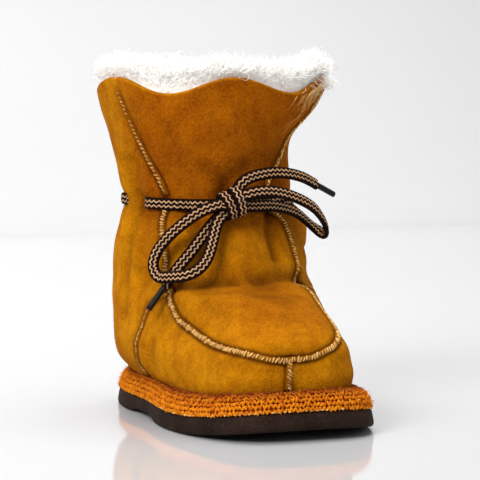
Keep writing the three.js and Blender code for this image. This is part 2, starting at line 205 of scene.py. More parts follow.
# Camera: the photo's angle to the boot, and the width of its view at the boot
AZIMUTH, ELEVATION, DISTANCE = -21.8, 4.1, 0.9
AIM = Vector((-0.0019, -0.004, 0.0625))
VIEW_WIDTH = 0.168
SENSOR_WIDTH = 36.0
round_by, up_by = math.radians(AZIMUTH), math.radians(ELEVATION)
level_share = math.cos(up_by)
back = Vector((math.sin(round_by) * level_share, -math.cos(round_by) * level_share, math.sin(up_by)))
camera = bpy.data.objects.new("camera", bpy.data.cameras.new("camera"))
camera.location = AIM + back * DISTANCE
camera.rotation_euler = (-back).to_track_quat("-Z", "Y").to_euler()
camera.data.sensor_width = SENSOR_WIDTH
camera.data.lens = SENSOR_WIDTH * DISTANCE / VIEW_WIDTH
bpy.context.scene.collection.objects.link(camera)
bpy.context.scene.camera = camera


class Sock:
    """A shader value that can be reckoned with."""

    def __init__(self, shader, out):
        self.shader, self.out = shader, out

    def math(self, kind, other=0.0):
        """This value and another put through a Math node."""
        return self.shader.node("ShaderNodeMath", {0: self, 1: other}, operation=kind)

    def __add__(self, other):
        return self.math("ADD", other)

    def __radd__(self, other):
        return self.math("ADD", other)

    def __sub__(self, other):
        return self.math("SUBTRACT", other)

    def __rsub__(self, other):
        return self.shader.node("ShaderNodeMath", {0: other, 1: self}, operation="SUBTRACT")

    def __mul__(self, other):
        return self.math("MULTIPLY", other)

    def __rmul__(self, other):
        return self.math("MULTIPLY", other)

    def clip(self, low, high):
        """This value with low to high spread over 0 to 1."""
        return self.shader.node("ShaderNodeMapRange", {0: self, 1: low, 2: high, 3: 0.0, 4: 1.0})


class Shader:
    """A material round one Principled shader."""

    def __init__(self, name, roughness, **constants):
        self.material = bpy.data.materials.new(name)
        self.material.use_nodes = True
        self.tree = self.material.node_tree
        self.bsdf = self.tree.nodes["Principled BSDF"]
        self.bsdf.inputs["Roughness"].default_value = roughness
        for key, value in constants.items():
            self.bsdf.inputs[key.replace("_", " ")].default_value = value

    def node(self, kind, sockets, out=0, **settings):
        """A node with its settings and the values or links of its sockets."""
        made = self.tree.nodes.new(kind)
        for key, value in settings.items():
            setattr(made, key, value)
        for key, value in sockets.items():
            self.put(made.inputs[key], value)
        return Sock(self, made.outputs[out])

    def put(self, socket, value):
        """A value or a link given to a socket."""
        if isinstance(value, Sock):
            self.tree.links.new(value.out, socket)
        else:
            socket.default_value = value

    def noise(self, scale, detail, rough=0.55, stretch=(1.0, 1.0, 1.0)):
        """Noise that stays in its place on the piece."""
        place = self.node("ShaderNodeTexCoord", {}, "Object")
        place = self.node("ShaderNodeMapping", {"Vector": place, "Scale": stretch})
        return self.node(
            "ShaderNodeTexNoise", {"Vector": place, "Scale": scale, "Detail": detail, "Roughness": rough})

    def attribute(self, name):
        """A value that the mesh carries."""
        return self.node("ShaderNodeAttribute", {}, "Fac", attribute_name=name)

    def uv(self, axis):
        """Run along a lace, or side across it."""
        return self.node("ShaderNodeSeparateXYZ", {0: self.node("ShaderNodeUVMap", {}, uv_map="UVMap")}, axis)

    def mix(self, share, first, second):
        """A share of the second colour over the first."""
        return self.node("ShaderNodeMix", {0: share, 6: first, 7: second}, 2, data_type="RGBA")

    def finish(self, colour, height=None, distance=None, strength=None):
        """The material with its colour and, where a height is given, its relief."""
        self.put(self.bsdf.inputs["Base Color"], colour)
        if height is not None:
            relief = {"Strength": strength, "Distance": distance, "Height": height}
            self.put(self.bsdf.inputs["Normal"], self.node("ShaderNodeBump", relief))
        return self.material


# Share of a colour seen in the photo that is the surface's own: the studio light is strong
OWN_SHARE = 0.8


def srgb(*colour):
    """A surface's colour from the colour that it shows in the photo."""
    shares = [v / 255 for v in colour]
    linear = [v / 12.92 if v < 0.0405 else ((v + 0.055) / 1.055) ** 2.4 for v in shares]
    return (*[OWN_SHARE * v for v in linear], 1.0)


suede = Shader(
    "suede", 0.9, Specular_IOR_Level=0.02, Sheen_Weight=0.06, Sheen_Roughness=0.35,
    Sheen_Tint=srgb(255, 170, 60))
blotch = suede.noise(55.0, 4.0).clip(0.3, 0.7)
patch = suede.noise(34.0, 3.0, 0.6).clip(0.44, 0.66)
cloud = suede.noise(125.0, 5.0, 0.62).clip(0.34, 0.68)
nap = suede.noise(210.0, 4.0, 0.65, (1.0, 1.0, 0.6)).clip(0.4, 0.68)
grain = suede.noise(1150.0, 4.0, 0.75).clip(0.4, 0.62)
mottle = blotch * 0.5 + cloud * 0.5
golden = suede.mix(mottle, srgb(190, 108, 2), srgb(238, 160, 12))
brown = suede.mix(mottle, srgb(146, 62, 1), srgb(204, 110, 4))
tone = suede.mix(suede.attribute("tint"), golden, brown)
tone = suede.mix(patch * 0.2 + nap * 0.38, tone, srgb(114, 46, 2))
tone = suede.mix(grain * 0.3, tone, srgb(108, 46, 2))
tone = suede.mix((1 - grain) * 0.16, tone, srgb(236, 160, 30))
# Painted shade from the shade attribute: creases, seams, lace holes, under the lace, at the band, top of the
# toe
tone = suede.mix(suede.attribute("shade"), tone, srgb(66, 17, 2))
SUEDE = suede.finish(tone, suede.noise(2600.0, 2.0) * 0.4 + suede.noise(800.0, 4.0, 0.7), 0.0009, 0.9)

knit = Shader("knit", 0.92, Specular_IOR_Level=0.04, Sheen_Weight=0.03, Sheen_Roughness=0.5)
fibre = knit.noise(2400.0, 2.0)
tone = knit.mix(knit.attribute("tint"), srgb(184, 72, 3), srgb(252, 156, 18))
tone = knit.mix(fibre.clip(0.35, 0.7) * 0.45, tone, srgb(200, 88, 6))
# Painted shade from the shade attribute: the gaps between stitches and the rows up under the suede
KNIT = knit.finish(knit.mix(knit.attribute("shade"), tone, srgb(92, 12, 3)), fibre, 0.0004, 0.7)

rubber = Shader("rubber", 0.75, Specular_IOR_Level=0.08)
cell = rubber.noise(1300.0, 3.0)
tone = rubber.mix(rubber.noise(90.0, 3.0).clip(0.3, 0.7), srgb(28, 17, 12), srgb(50, 34, 26))
tone = rubber.mix(cell.clip(0.55, 0.8) * 0.4, tone, srgb(104, 82, 66))
RUBBER = rubber.finish(tone, cell, 0.0002, 0.4)

wool = Shader("wool", 1.0, Specular_IOR_Level=0.1, Sheen_Weight=0.3, Sheen_Roughness=0.6)
curl = wool.noise(420.0, 4.0)
tone = wool.mix(curl.clip(0.3, 0.7), (0.94, 0.92, 0.87, 1), (1, 0.99, 0.97, 1))
WOOL = wool.finish(tone, curl, 0.002, 0.7)

thread = Shader("thread", 0.95, Specular_IOR_Level=0.0)
tone = thread.mix(thread.attribute("tint"), srgb(136, 64, 6), srgb(246, 202, 126))
THREAD = thread.finish(tone, thread.noise(2600.0, 2.0), 0.0002, 0.5)

# Two tan zigzag stripes on the lace: their depth and half width, and where they lie across it
ZIGZAG_DEPTH, STRIPE_HALF = 0.34, 0.062
STRIPES = (0.4, 0.77)
lace = Shader("lace", 0.9, Specular_IOR_Level=0.06)
turn = lace.uv(0).math("PINGPONG", 0.5)
first, second = (
    (lace.uv(1) + turn * ZIGZAG_DEPTH - middle).math("ABSOLUTE").math("LESS_THAN", STRIPE_HALF)
    for middle in STRIPES)
tone = lace.mix(lace.noise(900.0, 2.0), srgb(16, 7, 5), srgb(36, 18, 12))
tan = lace.mix(lace.noise(1500.0, 2.0).clip(0.3, 0.7), srgb(172, 124, 84), srgb(226, 186, 144))
LACE = lace.finish(lace.mix(first.math("MAXIMUM", second), tone, tan), turn * 2.0, 0.0005, 0.7)

tip = Shader("lace_tip", 0.5, Specular_IOR_Level=0.15)
TIP = tip.finish(tip.mix(tip.noise(500.0, 2.0), srgb(12, 8, 7), srgb(28, 19, 16)))

ground = Shader("floor", 0.08)
FLOOR = ground.finish(ground.mix(ground.noise(3.0, 2.0), (0.47, 0.47, 0.48, 1), (0.5, 0.5, 0.5, 1)))


def tube(around, along, capped=False):
    """A plain round tube along Z with evenly spaced rings of points."""
    form = bmesh.new()
    bmesh.ops.create_cone(form, segments=around, radius1=1, radius2=1, depth=1, cap_ends=capped)
    upright = [edge for edge in form.edges if abs(edge.verts[0].co.z - edge.verts[1].co.z) > 0.5]
    bmesh.ops.subdivide_edges(form, edges=upright, cuts=along - 2)
    return form


def places(form, around, along):
    """Ring of each point of a plain tube, and its place in that ring."""
    co = np.array([vert.co for vert in form.verts])
    turn = -np.arctan2(co[:, 0], co[:, 1])
    ring = np.rint((co[:, 2] + 0.5) * (along - 1)).astype(int)
    return ring, np.rint(turn * around / (2 * math.pi)).astype(int) % around


def finished(mesh, material, shade=0.0, tint=0.5, uv=None):
    """A part: a mesh with its finish, its painted shade and its tint, and its run and side on a lace."""
    for key, value in (("shade", shade), ("tint", tint)):
        values = np.broadcast_to(np.asarray(value, "f4"), len(mesh.vertices))
        mesh.attributes.new(key, "FLOAT", "POINT").data.foreach_set("value", np.ascontiguousarray(values))
    layer = mesh.uv_layers.new(name="UVMap")
    if uv is not None:
        corner = np.empty(len(mesh.loops), int)
        mesh.loops.foreach_get("vertex_index", corner)
        layer.data.foreach_set("uv", uv[corner].ravel())
    return mesh, material


def shaped(form, points, material, **looks):
    """A part from a form whose points are moved to their places, given in millimetres."""
    for vert, point in zip(form.verts, points / 1000):
        vert.co = point
    mesh = bpy.data.meshes.new("part")
    form.to_mesh(mesh)
    form.free()
    return finished(mesh, material, **looks)


def strewn(points, faces, material, **looks):
    """A part of many small things, from arrays of their points and faces."""
    mesh = bpy.data.meshes.new("part")
    mesh.from_pydata((points / 1000).tolist(), [], faces.tolist())
    return finished(mesh, material, **looks)


def piece(name, parts, replaces=()):
    """One object joined from its parts, fixed to the boot."""
    whole = bmesh.new()
    finishes = []
    for mesh, material in parts:
        if material not in finishes:
            finishes.append(material)
        count = len(mesh.polygons)
        mesh.polygons.foreach_set("material_index", np.full(count, finishes.index(material), "i4"))
        mesh.polygons.foreach_set("use_smooth", np.ones(count, bool))
        whole.from_mesh(mesh)
        bpy.data.meshes.remove(mesh)
    joined = bpy.data.meshes.new(name)
    whole.to_mesh(joined)
    whole.free()
    for material in finishes:
        joined.materials.append(material)
    made = bpy.data.objects.new(name, joined)
    bpy.context.scene.collection.objects.link(made)
    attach(made, "root")
    if replaces:
        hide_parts(*replaces)
    return made


def swept(path, up, section, material, closed=False, **looks):
    """A section of across and up sizes carried along a path; a closed path doesn't repeat its start."""
    ahead = np.roll(path, -1, 0) - np.roll(path, 1, 0) if closed else np.gradient(path, axis=0)
    across = unit(np.cross(up, unit(ahead)))
    up = np.cross(unit(ahead), across)
    form = tube(len(section), len(path), not closed)
    ring, column = places(form, len(section), len(path))
    if closed:
        bmesh.ops.bridge_loops(form, edges=[edge for edge in form.edges if edge.is_boundary])
    points = path[ring] + across[ring] * section[column, :1] + up[ring] * section[column, 1:]
    if "uv" in looks:
        run = run_of(path)
        side = section[column, 0] / np.ptp(section[:, 0]) + 0.5
        looks["uv"] = np.stack([run[ring] / looks["uv"], side], -1)
    return shaped(form, points, material, **looks)


def grains(centres, long, high, sizes, material, **looks):
    """Many small rounded stitches as one part, each with its own directions and half sizes."""
    form = bmesh.new()
    bmesh.ops.create_uvsphere(form, u_segments=6, v_segments=4, radius=1)
    bmesh.ops.triangulate(form, faces=form.faces)
    shape = np.array([vert.co for vert in form.verts])
    form.verts.index_update()
    sides = np.array([[vert.index for vert in face.verts] for face in form.faces])
    form.free()
    axes = (unit(np.cross(high, long)), high, long)
    local = shape[None] * sizes[:, None, [1, 2, 0]]
    points = centres[:, None] + sum(local[..., k, None] * axis[:, None] for k, axis in enumerate(axes))
    faces = sides[None] + (np.arange(len(centres)) * len(shape))[:, None, None]
    looks["tint"] = np.repeat(np.clip(looks["tint"], 0, 1), len(shape))
    return strewn(points.reshape(-1, 3), faces.reshape(-1, 3), material, **looks)


# Seams, by distance from the heel and height
INNER_SHAFT = [[51.6, 114], [55.6, 100], [59, 91], [62.4, 82.5], [63.2, 78.4]]
OUTER_SHAFT = [[56.5, 114], [58.5, 104], [61.5, 94], [65, 87], [66.9, 83], [67, 78.8]]
INNER_APRON = [
    [63.3, 73.2], [63.4, 69.5], [64.6, 64], [67, 57.5], [71.2, 46.2], [82, 37.4], [93, 33.8], [103, 31],
    [113, 28.8], [121.6, 26.7]]
OUTER_APRON = [
    [66.6, 73.4], [66.4, 69.5], [67.4, 63.5], [70, 56.5], [76, 49], [86, 43.6], [95, 39.4], [103, 36],
    [111, 33], [119.5, 30], [126, 26.6]]
INNER_SIDE = [[71.2, 46.2], [63.4, 38.4], [61, 29.5], [56.6, 21], [53, 14.6]]
OUTER_SIDE = [[76, 49], [65.5, 38.5], [57.5, 27], [49.5, 14.6]]
TOE_ANGLE = math.radians(-1)
APRON_TIP = [2.37, TOE_ANGLE]
# How levels and angles are weighed when a seam's curve is drawn through its points
SEAM_WEIGHT = np.array([1.0, 5.0])


def seam_path(points, count):
    """Levels and angles along a smooth curve through a seam's points."""
    spots = spline(np.asarray(points) * SEAM_WEIGHT, count) / SEAM_WEIGHT
    return spots[:, 0], spots[:, 1]


APRON = np.vstack([locate(INNER_APRON, -1), [APRON_TIP], locate(OUTER_APRON, 1)[::-1]])
SEAMS = {
    "seam_shaft_inner": seam_path(locate(INNER_SHAFT, -1), 80),
    "seam_shaft_outer": seam_path(locate(OUTER_SHAFT, 1), 80),
    "seam_apron": seam_path(APRON, 340),
    "seam_toe": seam_path([[0.1, TOE_ANGLE], [1.2, TOE_ANGLE], APRON_TIP], 24),
    "seam_side_inner": seam_path(locate(INNER_SIDE, -1), 70),
    "seam_side_outer": seam_path(locate(OUTER_SIDE, 1), 70),
}

# Creases of the suede: distance from the heel and height, side, width, rise (below zero it sinks), painted
# shade
CREASES = [
    ([[71, 46.5], [78, 50], [85.5, 50.2]], -1, 3.4, -2.3, 0.5),
    ([[76, 49], [81, 50.6], [85.5, 50.2]], 1, 3.4, -2.3, 0.5),
    ([[69, 73], [72.5, 66], [76, 57]], -1, 3.2, -2.0, 0.42),
    ([[68, 72], [71.5, 66], [76, 57]], 1, 3.2, -2.4, 0.5),
    ([[46, 92], [44, 78], [43, 64]], -1, 2.8, 1.6, 0.0),
    ([[51, 90], [50, 78], [51, 66]], -1, 2.4, -1.7, 0.16),
    ([[40, 88], [38, 76], [37, 62]], -1, 2.6, -1.4, 0.1),
    ([[58, 70], [56, 59], [58, 48]], -1, 2.8, -1.5, 0.08),
    ([[48, 62], [45, 50], [47, 36]], -1, 3.2, -1.5, 0.28),
    ([[52, 66], [51, 54], [53, 42]], -1, 2.6, 1.0, 0.0),
    ([[72, 88], [74, 82], [73, 78]], -1, 3.6, -1.0, 0.3),
    ([[72, 88], [74, 82], [73, 78]], 1, 3.6, -1.0, 0.3),
    ([[66, 108], [67.5, 96], [68, 84]], -1, 6.0, -1.0, 0.12),
    ([[36, 73], [50, 60.5], [59, 55.5]], 1, 3.4, -2.0, 0.5),
    ([[30, 75], [37, 61], [47, 49]], 1, 3.2, -1.5, 0.3),
    ([[42, 72], [50, 66], [58, 60]], 1, 2.6, 1.2, 0.0),
    ([[27, 98], [30, 86], [34, 79]], 1, 5.0, -1.4, 0.25),
    ([[28, 78], [24, 66], [18, 57]], -1, 3.4, -1.3, 0.25),
    ([[9, 84], [7, 72], [6, 60]], 1, 4.0, -1.1, 0.2),
    ([[52, 52], [58, 48], [66, 46]], -1, 3.0, -0.9, 0.15),
    ([[96, 44.5], [102, 43.5], [108, 41]], -1, 5.0, 0.8, 0.0),
    ([[67, 34], [65.5, 25], [64.5, 17]], -1, 2.4, 0.9, 0.0),
    ([[73, 32], [71.5, 24], [71, 16.5]], -1, 2.2, -0.8, 0.14),
    ([[79, 30], [78, 23], [78, 17]], -1, 2.6, 0.7, 0.0),
    # Broad shallow patches of painted shade over the top of the toe
    ([[90, 47.5], [95, 46.2], [100, 44.5]], 1, 7.0, -0.3, 0.3),
    ([[86, 47], [91, 45], [97, 42]], -1, 6.0, -0.2, 0.2),
]
CREASE_POINTS = 40
# Lace holes: level, radius, depth of the rim, and degrees round from the toe on either side
LACE_LEVEL = 11.0
HOLE_RADIUS = 2.4
RIM_DEPTH = 0.8
FRONT_HOLE, MIDDLE_HOLE, REAR_HOLE = 66, 86, 108
HOLES = upper(LACE_LEVEL, np.radians(
    [-REAR_HOLE, -MIDDLE_HOLE, -FRONT_HOLE, FRONT_HOLE, MIDDLE_HOLE, REAR_HOLE]))
# Suede at its seams: depth and width of the trough; place, width and darkness of the painted shade at its
# edges; width and darkness of the painted shade about it; and the share of both that fades towards the collar
TROUGH_DEPTH, TROUGH_WIDTH = 0.8, 2.4
EDGE_PLACE, EDGE_WIDTH, EDGE_DARK = 1.3, 0.75, 0.66
ABOUT_WIDTH, ABOUT_DARK = 4.5, 0.14
EDGE_FADE = 0.6
# Suede at its lace holes: depth and width of the dimple, width and darkness of the painted shade round the
# rim
DIMPLE_DEPTH, DIMPLE_WIDTH = 0.9, 4.2
RIM_WIDTH, RIM_DARK = 1.6, 0.45
# Swelling over the instep: rise, angle, spread round the boot, level
INSTEP_RISE, INSTEP_ANGLE, INSTEP_SPREAD, INSTEP_LEVEL = 2.6, 0.12, 0.3, 9.5
# Pull of the lace round the ankle: depth, height and width, and the same of the painted shade below it
PULL_DEPTH, PULL_HEIGHT, PULL_WIDTH = 1.1, 76, 3.5
PULL_DARK, PULL_DARK_HEIGHT, PULL_DARK_WIDTH = 0.18, 73, 3.0
# Slow waves over the whole, painted shade where the suede meets the band, and the most painted shade anywhere
WAVE_RISE = 0.45
FOOT_DARK, FOOT_WIDTH = 0.2, 0.2
MOST_DARK = 0.95


def nearest(points, line):
    """Distance from each point to the closest point of a line."""
    tree = kdtree.KDTree(len(line))
    for i, p in enumerate(line):
        tree.insert(p, i)
    tree.balance()
    return np.array([tree.find(p)[2] for p in points])


def dressed(level, angle):
    """Surface of the suede with its creases, its outward direction and its painted shade."""
    p, n = upper(level, angle), upper_normal(level, angle)
    move, dark = np.zeros(len(p)), np.zeros(len(p))
    for at, turn in SEAMS.values():
        d = nearest(p, upper(at, turn))
        move -= TROUGH_DEPTH * bump(d, TROUGH_WIDTH)
        edge = EDGE_DARK * bump(d - EDGE_PLACE, EDGE_WIDTH) + ABOUT_DARK * bump(d, ABOUT_WIDTH)
        dark += edge * (1 - EDGE_FADE * smooth(level, 12, 14.5))
    for points, side, width, rise, shade in CREASES:
        at, turn = seam_path(locate(points, side), CREASE_POINTS)
        d = nearest(p, upper(at, turn))
        move += rise * bump(d, width)
        dark += shade * bump(d, width * 0.8)
    for centre in HOLES:
        d = np.linalg.norm(p - centre, axis=1)
        move -= DIMPLE_DEPTH * bump(d, DIMPLE_WIDTH)
        dark += RIM_DARK * bump(d - HOLE_RADIUS, RIM_WIDTH)
    from_instep = wrapped(angle - INSTEP_ANGLE)
    move += INSTEP_RISE * bump(from_instep, INSTEP_SPREAD) * bump(level - INSTEP_LEVEL, 1.0)
    move -= PULL_DEPTH * bump(p[:, 2] - PULL_HEIGHT, PULL_WIDTH)
    calm = smooth(level, 0, 1.5) * smooth(COLLAR - level, 0, 2)
    move += WAVE_RISE * calm * np.sin(3 * angle + 0.8 * level) * np.sin(5 * angle - 1.1 * level + 0.6)
    dark += FOOT_DARK * bump(level, FOOT_WIDTH)
    dark += PULL_DARK * bump(p[:, 2] - PULL_DARK_HEIGHT, PULL_DARK_WIDTH)
    return p + n * move[:, None], n, np.clip(dark, 0, MOST_DARK)


# The collar's edge, turned in: rise and distance out of its rings, and its tint
COLLAR_EDGE = [(0.55, -0.2), (0.8, -1.1), (0.55, -2.0), (-0.3, -2.4), (-3.0, -2.45)]
COLLAR_TINT = 0.1
# Rings of the suede up to the level of the toe's top and above it, and points in a ring
TOE_LEVEL, TOE_RINGS, SHAFT_RINGS, SUEDE_AROUND = 4.5, 72, 112, 340
# How much of the brown tint the panel over the toe has, and how much painted shade darkens its top
APRON_TINT, APRON_DARK = 0.5, 0.13


def suede_tones(angle, height):
    """How brown the suede is, most on the front of the shaft, and the painted shade on the top of the toe."""
    turn = np.degrees(np.abs(wrapped(angle)))
    shaft = smooth(height, 54, 78) * (1 - 0.88 * smooth(turn, 52, 80))
    apron = bump(turn, 55) * smooth(height, 26, 40) * (1 - 0.6 * smooth(height, 44, 56))
    return np.maximum(shaft, APRON_TINT * apron), APRON_DARK * apron


def upper_part():
    """The suede shell with its collar edge turned in and the lace holes cut out."""
    low = np.linspace(0, TOE_LEVEL, TOE_RINGS, endpoint=False)
    levels = np.concatenate([low, np.linspace(TOE_LEVEL, COLLAR, SHAFT_RINGS)])
    around, along = SUEDE_AROUND, len(levels) + len(COLLAR_EDGE)
    turns = np.linspace(0, 2 * math.pi, around, endpoint=False)
    level, angle = (g.ravel() for g in np.meshgrid(levels, turns, indexing="ij"))
    p, n, dark = dressed(level, angle)
    away = np.array([np.linalg.norm(p - centre, axis=1) for centre in HOLES])
    hole, inside = HOLES[away.argmin(0)], away.min(0) < HOLE_RADIUS
    p = np.where(inside[:, None], hole + unit(p - hole) * HOLE_RADIUS - n * RIM_DEPTH, p)
    top, top_n = upper(COLLAR, turns), upper_normal(COLLAR, turns)
    points = np.vstack([p] + [top + top_n * out + [0, 0, rise] for rise, out in COLLAR_EDGE])
    brown_share, darker = suede_tones(angle, p[:, 2])
    edge = len(COLLAR_EDGE) * around
    tint = np.concatenate([brown_share, np.full(edge, COLLAR_TINT)])
    shade = np.concatenate([np.clip(dark + darker, 0, MOST_DARK), np.zeros(edge)])
    cut = np.concatenate([inside, np.zeros(edge, bool)])
    form = tube(around, along)
    ring, column = places(form, around, along)
    cut = cut[ring * around + column]
    form.verts.index_update()
    holes = [face for face in form.faces if all(cut[vert.index] for vert in face.verts)]
    bmesh.ops.delete(form, geom=holes, context="FACES")
    ring, column = places(form, around, along)
    at = ring * around + column
    return shaped(form, points[at], SUEDE, shade=shade[at], tint=tint[at])


piece("upper_suede", [upper_part()], ["upper"])

# Seam looks: half width and height of the ridge; spacing, half sizes, lean and tint of the ticks along it
SEAM_LOOKS = {
    "seam_shaft_inner": (1.0, 0.95, 1.5, (0.95, 0.42, 0.4), 1.1, 0.42),
    "seam_shaft_outer": (1.2, 1.3, 1.6, (1.1, 0.48, 0.5), 1.1, 0.95),
    "seam_apron": (1.0, 1.2, 1.0, (0.98, 0.36, 0.42), 0.35, 0.72),
    "seam_toe": (1.2, 1.3, 1.15, (1.15, 0.36, 0.44), 0.6, 0.5),
    "seam_side_inner": (0.85, 0.8, 0.85, (0.6, 0.28, 0.32), 0.5, 0.5),
    "seam_side_outer": (0.85, 0.8, 0.85, (0.6, 0.28, 0.32), 0.5, 0.6),
}
# How deep a ridge sits and reaches into the suede, its painted shade, and how deep the ticks sit in it
RIDGE_SINK, RIDGE_FOOT, RIDGE_SHADE, TICK_SINK = 0.1, -0.6, 0.5, 0.3
# Share of the ticks that is missing, and how far the rest stray along the seam, in their lean and across it
TICKS_LOST = 0.03
STRAY_ALONG, STRAY_LEAN, STRAY_ACROSS = 0.1, 0.25, 0.14


def seam_parts(name):
    """A ridge of turned suede with the cream raw edge of short ticks along it."""
    wide, high, spacing, sizes, lean, tint = SEAM_LOOKS[name]
    at, turn = SEAMS[name]
    p, n, _ = dressed(at, turn)
    half = np.linspace(0, math.pi, 10)
    section = np.stack([wide * np.cos(half), high * np.sin(half) - RIDGE_SINK], -1)
    section = np.vstack([section, [[-wide, RIDGE_FOOT], [wide, RIDGE_FOOT]]])
    ridge = swept(p, n, section, SUEDE, shade=RIDGE_SHADE, tint=0.35 if "shaft" in name else 0.1)
    run = run_of(p)
    marks = np.arange(0.5, run[-1] - 0.4, spacing)
    marks = marks[rng.uniform(0, 1, len(marks)) > TICKS_LOST]
    marks = marks + rng.normal(0, STRAY_ALONG, len(marks))
    count = len(marks)
    q, up = along_path(p, marks, run), unit(along_path(n, marks, run))
    ahead = unit(along_path(np.gradient(p, axis=0), marks, run))
    across = unit(np.cross(up, ahead))
    long = unit(across + ahead * (lean + rng.normal(0, STRAY_LEAN, (count, 1))))
    centres = q + up * (high - TICK_SINK) + across * rng.normal(0, STRAY_ACROSS, (count, 1))
    sizes = np.array(sizes) * rng.uniform(0.7, 1.25, (count, 3))
    ticks = grains(centres, long, up, sizes, THREAD, tint=rng.normal(tint, 0.25 * tint + 0.03, count))
    return [ridge, ticks]


for name in SEAMS:
    piece(name + "_sewn", seam_parts(name), [name])

# Sole: stations and lift of its arch, and how far its points crowd towards toe and heel
ARCH_STATIONS, ARCH_LIFT = [40, 48, 66, 74], [0, 1.4, 1.4, 0]
CROWDING = 0.12


def sole_points(turn, inset, height, share=1.0, arch=0.0):
    """Points round the sole by angle, inset, height, share of the way out and share of the arch."""
    p, station = outline(SOLE, turn - CROWDING * np.sin(2 * turn), inset)
    station = HALF_SOLE + (station - HALF_SOLE) * share
    lift = np.interp(station, ARCH_STATIONS, ARCH_LIFT) * arch
    x = -CENTRE_X + (p[:, 0] + CENTRE_X) * share
    return np.stack([x, HALF_SOLE - station, height + lift + spring(station)], -1)


def slab(layers, around, material, **looks):
    """A closed form from rings round the sole: share of the way out, inset, height and share of the arch."""
    share, inset, height, arch = np.array(layers, float).T
    form = tube(around, len(layers), True)
    ring, column = places(form, around, len(layers))
    p = sole_points(2 * math.pi * column / around, inset[ring], height[ring], share[ring], arch[ring])
    return shaped(form, p, material, **looks)


SOLE_LAYERS = [
    (0.02, 2, 0, 1), (0.3, 2, 0, 1), (0.6, 2, 0, 1), (0.85, 2, 0, 1), (1, 2, 0, 1), (1, 0.7, 0.1, 1),
    (1, 0.15, 0.6, 1), (1, 0, 1.5, 0.7), (1, 0.4, 4, 0), (1, 0.8, 5.6, 0), (1, 1.3, 6, 0), (0.6, 1.3, 6, 0),
    (0.02, 1.3, 6, 0)]
piece("outsole_rubber", [slab(SOLE_LAYERS, 220, RUBBER)], ["outsole"])

# Layers of the knitted band: inset and height of their foot, and rise; all roll in by the same width
BAND_ROLL = 6.0
WELT = (1.3, 6.3, 6.6)
STITCHES = (0.95, 6.3, 7.0)
FIBRES = (0.5, 6.4, 7.2)
RUNNING_STITCH = (0.75, 6.5, 0.0)
WELT_UNDERSIDE = (2.5, 6.3)
# Rows of stitches: degrees round the roll, and the painted shade of the row, darkest up under the suede
KNIT_ROWS = ((5, 0.02), (19, 0.03), (33, 0.1), (47, 0.28), (61, 0.55), (77, 0.75))
STITCH_SPACING, RUNNING_SPACING, FIBRE_SPACING = 1.5, 1.9, 0.8


def rolled(layer, bend):
    """Inset and height of a layer of the band, at a bend from its foot."""
    inset, foot, rise = layer
    return inset + BAND_ROLL * (1 - math.cos(bend)), foot + rise * math.sin(bend)


def band_ring(layer, degrees, spacing, start=0.0):
    """Evenly spaced places round a layer of the band, with their directions ahead and outward."""
    bend = math.radians(degrees)
    loop = sole_points(np.linspace(0, 2 * math.pi, 1600), *rolled(layer, bend))
    run = run_of(loop)
    count = int(run[-1] / spacing)
    marks = (np.arange(count) + start) * run[-1] / count
    q = along_path(loop, marks, run)
    ahead = unit(along_path(loop, (marks + 0.4) % run[-1], run) - q)
    side = unit(np.cross(ahead, [0, 0, 1.0]))
    out = unit(side * math.cos(bend) + np.array([0, 0, math.sin(bend)]))
    return q, ahead, out


def band_parts():
    """A rolled welt covered with six rows of knitted stitches, and a cream running stitch at its foot."""
    layers = [(share, *WELT_UNDERSIDE, 0) for share in (0.02, 1)]
    layers += [(1, *rolled(WELT, bend), 0) for bend in np.radians(np.linspace(0, 90, 14))]
    layers += [(share, *rolled(WELT, math.pi / 2), 0) for share in (0.5, 0.02)]
    # The welt carries painted shade, which shows in the gaps between the stitches
    parts = [slab(layers, 240, KNIT, shade=0.5, tint=0.0)]
    for row, (degrees, shade) in enumerate(KNIT_ROWS):
        q, ahead, out = band_ring(STITCHES, degrees, STITCH_SPACING, 0.5 * (row % 2))
        rise = unit(np.cross(out, ahead))
        count = len(q)
        for sign in (-1, 1):
            stray = rng.normal(0, 0.16, (count, 3))
            long = unit(rise + ahead * sign * rng.uniform(0.4, 0.9, (count, 1)) + stray)
            sizes = rng.uniform([0.8, 0.36, 0.42], [1.15, 0.5, 0.58], (count, 3))
            tint = rng.normal(0.8 - 0.07 * row, 0.22, count)
            centres = q + ahead * sign * 0.38 + out * 0.1 + stray
            parts.append(grains(centres, long, out, sizes, KNIT, tint=tint, shade=shade))
    q, ahead, out = band_ring(RUNNING_STITCH, 0, RUNNING_SPACING)
    keep = rng.uniform(0, 1, len(q)) > 0.3
    q, ahead, out = q[keep], ahead[keep], out[keep]
    sizes = rng.uniform([0.5, 0.26, 0.3], [0.9, 0.4, 0.42], (len(q), 3))
    long = unit(ahead + rng.normal(0, 0.15, ahead.shape))
    parts.append(grains(q, long, out, sizes, THREAD, tint=rng.normal(0.85, 0.15, len(q))))
    return parts


piece("knit_band_stitched", band_parts(), ["knit_band"])

# Wool lining: level, distance from the suede and rise of its section; points in a ring, and rings
WOOL_SECTION = np.array([
    (15, -2.55, -3.0), (15, -2.5, 0.6), (15, -1.7, 2.2), (15, -2.6, 4.2), (15, -5.2, 5.0), (15, -7.4, 3.4),
    (15, -8.4, 0.2), (14, -8.2, 0), (13, -7.2, 0), (12, -5.6, 0), (11, -4.6, 0), (10, -4.4, 0), (9, -4.4, 0),
    (8, -4.4, 0), (7, -4.4, 0), (5, -4.4, 0), (3, -4.4, 0), (1.6, -4.6, 0),
])
WOOL_AROUND, WOOL_RINGS = 260, 86
# Footbed: height, inset, and its rings' shares of the way out
FOOTBED_HEIGHT, FOOTBED_INSET = 17.4, 3.0
FOOTBED_SHARES = np.array([1.0, 0.75, 0.5, 0.25, 0.02])


